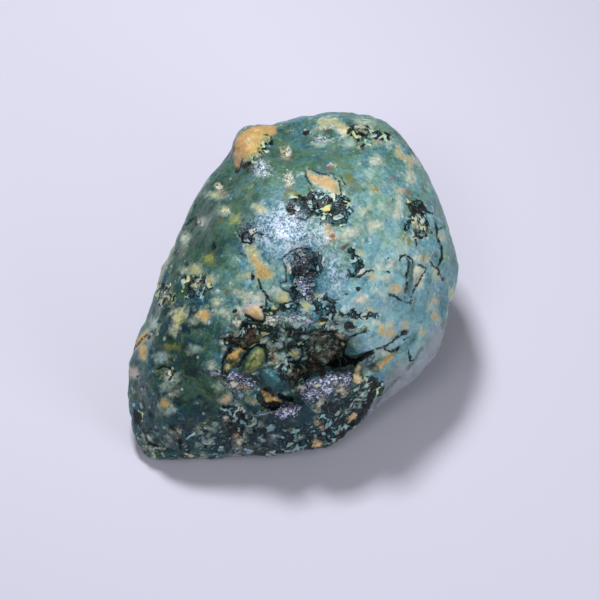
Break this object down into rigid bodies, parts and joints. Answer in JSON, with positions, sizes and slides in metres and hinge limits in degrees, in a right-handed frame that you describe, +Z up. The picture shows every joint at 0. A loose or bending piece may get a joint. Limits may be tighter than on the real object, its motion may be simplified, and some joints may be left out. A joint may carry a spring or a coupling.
{
  "type": "moss agate specimen",
  "caption": "Water-worn moss agate nodule with a knob, shallow pits and an overhung hollow, resting on a small flat under its belly.",
  "frame": {"origin": "middle of the stone's box in plan, at the height of the flat that it rests on", "axes": "+X along the stone's length, from its thin end to its thick end; +Z up, out of the surface that it rests on"},
  "size_m": [0.039, 0.0288, 0.0216],
  "materials": {
    "moss_agate": "waxy water-worn skin, mottled grey-green to blue-green with ochre and cream patches and black dendrite lines"
  },
  "bodies": {
    "root": {"nodule": "moss_agate"}
  },
  "joints": []
}
